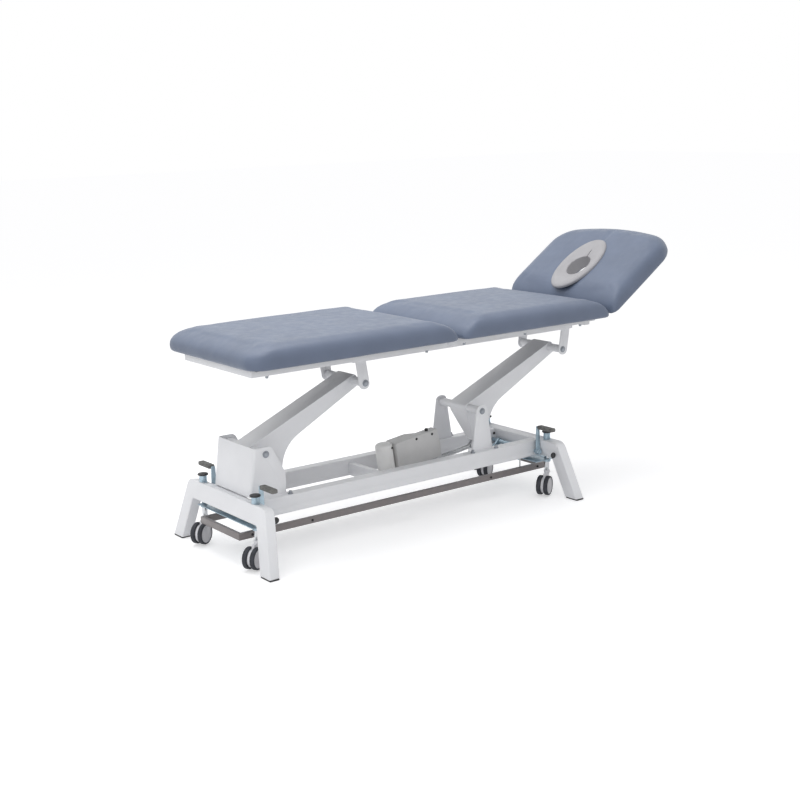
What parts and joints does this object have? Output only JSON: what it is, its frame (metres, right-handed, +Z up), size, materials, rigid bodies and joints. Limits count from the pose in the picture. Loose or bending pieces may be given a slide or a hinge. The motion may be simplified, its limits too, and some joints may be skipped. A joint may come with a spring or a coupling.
{
  "type": "treatment table",
  "caption": "Height-adjustable treatment table with padded leg, middle and head sections, a face opening, parallel lift arms, foot control ring and retractable castors.",
  "frame": {"origin": "on the floor under the middle of the whole table's length and width", "axes": "+X along the table towards the head end, +Y across it to the far side, +Z up"},
  "size_m": [2.0953, 0.696, 1.0446],
  "materials": {
    "white_coating": "satin",
    "grey_coating": "satin",
    "zinc_plate": "satin",
    "steel": "satin",
    "vinyl": "satin",
    "ply_board": "matte",
    "light_plastic": "matte",
    "pale_plastic": "satin",
    "dark_plastic": "matte",
    "tyre_rubber": "matte",
    "foot_rubber": "matte"
  },
  "bodies": {
    "base": {"foot_portal": "white_coating", "head_portal": "white_coating", "rubber_feet": "foot_rubber", "near_rail": "white_coating", "far_rail": "white_coating", "foot_tower": "white_coating", "head_tower_near": "white_coating", "head_tower_far": "white_coating", "lower_pivot_shafts": "steel", "drive_mount": "white_coating"},
    "foot_arm": {"foot_lift_arm": "white_coating", "foot_arm_tubes": "white_coating"},
    "head_arm": {"head_lift_arm": "white_coating", "head_arm_tubes": "white_coating", "head_arm_lever": "white_coating", "clevis_pin": "steel"},
    "push_rod_body": {"push_rod": "steel"},
    "drive": {"drive_tube": "steel", "motor_housing": "pale_plastic", "control_box": "light_plastic", "cable_gland": "dark_plastic"},
    "top": {"main_frame": "white_coating", "lift_lugs": "white_coating", "upper_pivot_shafts": "steel", "section_hinge_pins": "steel", "mid_board": "ply_board", "mid_cushion": "vinyl"},
    "leg_section": {"leg_frame": "white_coating", "leg_board": "ply_board", "leg_cushion": "vinyl"},
    "head_section": {"head_frame": "white_coating", "head_board": "ply_board", "head_cushion": "vinyl", "face_insert": "light_plastic"},
    "leg_cylinder": {"leg_spring_cylinder": "dark_plastic"},
    "leg_rod": {"leg_spring_rod": "steel"},
    "head_cylinder": {"head_spring_cylinder": "dark_plastic"},
    "head_rod": {"head_spring_rod": "steel"},
    "control_bar": {"control_ring": "grey_coating", "ring_hangers": "steel"},
    "foot_carriage_body": {"foot_carriage": "zinc_plate", "foot_castor_stems": "steel"},
    "foot_pedals": {"foot_pedal_shaft": "zinc_plate", "foot_pedal_pads": "dark_plastic"},
    "foot_near_castor": {"foot_near_castor_fork": "pale_plastic"},
    "foot_near_wheel": {"foot_near_wheels": "pale_plastic", "foot_near_tyres": "tyre_rubber"},
    "foot_far_castor": {"foot_far_castor_fork": "pale_plastic"},
    "foot_far_wheel": {"foot_far_wheels": "pale_plastic", "foot_far_tyres": "tyre_rubber"},
    "head_carriage_body": {"head_carriage": "zinc_plate", "head_castor_stems": "steel"},
    "head_pedals": {"head_pedal_shaft": "zinc_plate", "head_pedal_pads": "dark_plastic"},
    "head_near_castor": {"head_near_castor_fork": "pale_plastic"},
    "head_near_wheel": {"head_near_wheels": "pale_plastic", "head_near_tyres": "tyre_rubber"},
    "head_far_castor": {"head_far_castor_fork": "pale_plastic"},
    "head_far_wheel": {"head_far_wheels": "pale_plastic", "head_far_tyres": "tyre_rubber"}
  },
  "joints": [
    {"name": "lift", "type": "hinge", "parent": "base", "child": "head_arm", "pos_m": [0.1094, 0, 0.3845], "axis": [0, -1, 0], "range_deg": [-29, 16]},
    {"name": "foot_arm_lift", "type": "hinge", "parent": "base", "child": "foot_arm", "pos_m": [-0.8901, 0, 0.3845], "axis": [0, -1, 0], "range_deg": [-29, 16]},
    {"name": "top_level", "type": "hinge", "parent": "head_arm", "child": "top", "pos_m": [0.55092, 0, 0.57685], "axis": [0, -1, 0], "range_deg": [-16, 29]},
    {"name": "rod_pivot", "type": "hinge", "parent": "head_arm", "child": "push_rod_body", "pos_m": [0.16408, 0, 0.21238], "axis": [0, -1, 0], "range_deg": [-16, 29]},
    {"name": "drive_stroke", "type": "slide", "parent": "push_rod_body", "child": "drive", "axis": [-0.9912, 0, -0.1323], "range_m": [-0.09, 0.05]},
    {"name": "leg_raise", "type": "hinge", "parent": "top", "child": "leg_section", "pos_m": [-0.1331, 0, 0.712], "axis": [0, 1, 0], "range_deg": [0, 60]},
    {"name": "head_tilt", "type": "hinge", "parent": "top", "child": "head_section", "pos_m": [0.6539, 0, 0.712], "axis": [0, -1, 0], "range_deg": [-54, 10]},
    {"name": "leg_cylinder_swing", "type": "hinge", "parent": "top", "child": "leg_cylinder", "pos_m": [-0.06882, 0.088, 0.6354], "axis": [0, 1, 0], "range_deg": [0, 30]},
    {"name": "leg_rod_swing", "type": "hinge", "parent": "leg_section", "child": "leg_rod", "pos_m": [-0.19738, 0.088, 0.6354], "axis": [0, 1, 0], "range_deg": [-30, 0]},
    {"name": "head_cylinder_swing", "type": "hinge", "parent": "top", "child": "head_cylinder", "pos_m": [0.51263, 0.09, 0.63689], "axis": [0, -1, 0], "range_deg": [-27, 5]},
    {"name": "head_rod_swing", "type": "hinge", "parent": "head_section", "child": "head_rod", "pos_m": [0.81351, 0.09, 0.72316], "axis": [0, -1, 0], "range_deg": [-5, 27]},
    {"name": "bar_travel", "type": "slide", "parent": "base", "child": "control_bar", "axis": [0, 0, 1], "range_m": [-0.005, 0.005], "stiffness_N_per_m": 20000, "springref_m": 0.0046},
    {"name": "foot_carriage_drop", "type": "slide", "parent": "base", "child": "foot_carriage_body", "axis": [0, 0, -1], "range_m": [0, 0.015]},
    {"name": "foot_pedal_press", "type": "hinge", "parent": "base", "child": "foot_pedals", "pos_m": [-0.9391, 0, 0.182], "axis": [0, 1, 0], "range_deg": [0, 60]},
    {"name": "foot_near_swivel", "type": "hinge", "parent": "foot_carriage_body", "child": "foot_near_castor", "pos_m": [-0.9741, -0.187, 0.102], "axis": [0, 0, 1], "continuous": true},
    {"name": "foot_near_roll", "type": "hinge", "parent": "foot_near_castor", "child": "foot_near_wheel", "pos_m": [-1.00235, -0.20202, 0.044], "axis": [0.4695, -0.8829, 0], "continuous": true},
    {"name": "foot_far_swivel", "type": "hinge", "parent": "foot_carriage_body", "child": "foot_far_castor", "pos_m": [-0.9741, 0.187, 0.102], "axis": [0, 0, 1], "continuous": true},
    {"name": "foot_far_roll", "type": "hinge", "parent": "foot_far_castor", "child": "foot_far_wheel", "pos_m": [-1.00235, 0.17198, 0.044], "axis": [0.4695, -0.8829, 0], "continuous": true},
    {"name": "head_carriage_drop", "type": "slide", "parent": "base", "child": "head_carriage_body", "axis": [0, 0, -1], "range_m": [0, 0.015]},
    {"name": "head_pedal_press", "type": "hinge", "parent": "base", "child": "head_pedals", "pos_m": [0.3709, 0, 0.182], "axis": [0, -1, 0], "range_deg": [0, 60]},
    {"name": "head_near_swivel", "type": "hinge", "parent": "head_carriage_body", "child": "head_near_castor", "pos_m": [0.4059, -0.187, 0.102], "axis": [0, 0, 1], "continuous": true},
    {"name": "head_near_roll", "type": "hinge", "parent": "head_near_castor", "child": "head_near_wheel", "pos_m": [0.37765, -0.20202, 0.044], "axis": [0.4695, -0.8829, 0], "continuous": true},
    {"name": "head_far_swivel", "type": "hinge", "parent": "head_carriage_body", "child": "head_far_castor", "pos_m": [0.4059, 0.187, 0.102], "axis": [0, 0, 1], "continuous": true},
    {"name": "head_far_roll", "type": "hinge", "parent": "head_far_castor", "child": "head_far_wheel", "pos_m": [0.37765, 0.17198, 0.044], "axis": [0.4695, -0.8829, 0], "continuous": true}
  ],
  "couplings": [
    {"joint": "foot_arm_lift", "follows": "lift", "ratio": 1},
    {"joint": "top_level", "follows": "lift", "ratio": -1},
    {"joint": "rod_pivot", "follows": "lift", "ratio": -1},
    {"joint": "drive_stroke", "follows": "lift", "m_per_rad": 0.175},
    {"joint": "leg_cylinder_swing", "follows": "leg_raise", "ratio": 0.5},
    {"joint": "leg_rod_swing", "follows": "leg_raise", "ratio": -0.5},
    {"joint": "head_cylinder_swing", "follows": "head_tilt", "ratio": 0.5},
    {"joint": "head_rod_swing", "follows": "head_tilt", "ratio": -0.5},
    {"joint": "foot_pedal_press", "follows": "foot_carriage_drop", "rad_per_m": 69.813},
    {"joint": "head_pedal_press", "follows": "head_carriage_drop", "rad_per_m": 69.813}
  ]
}
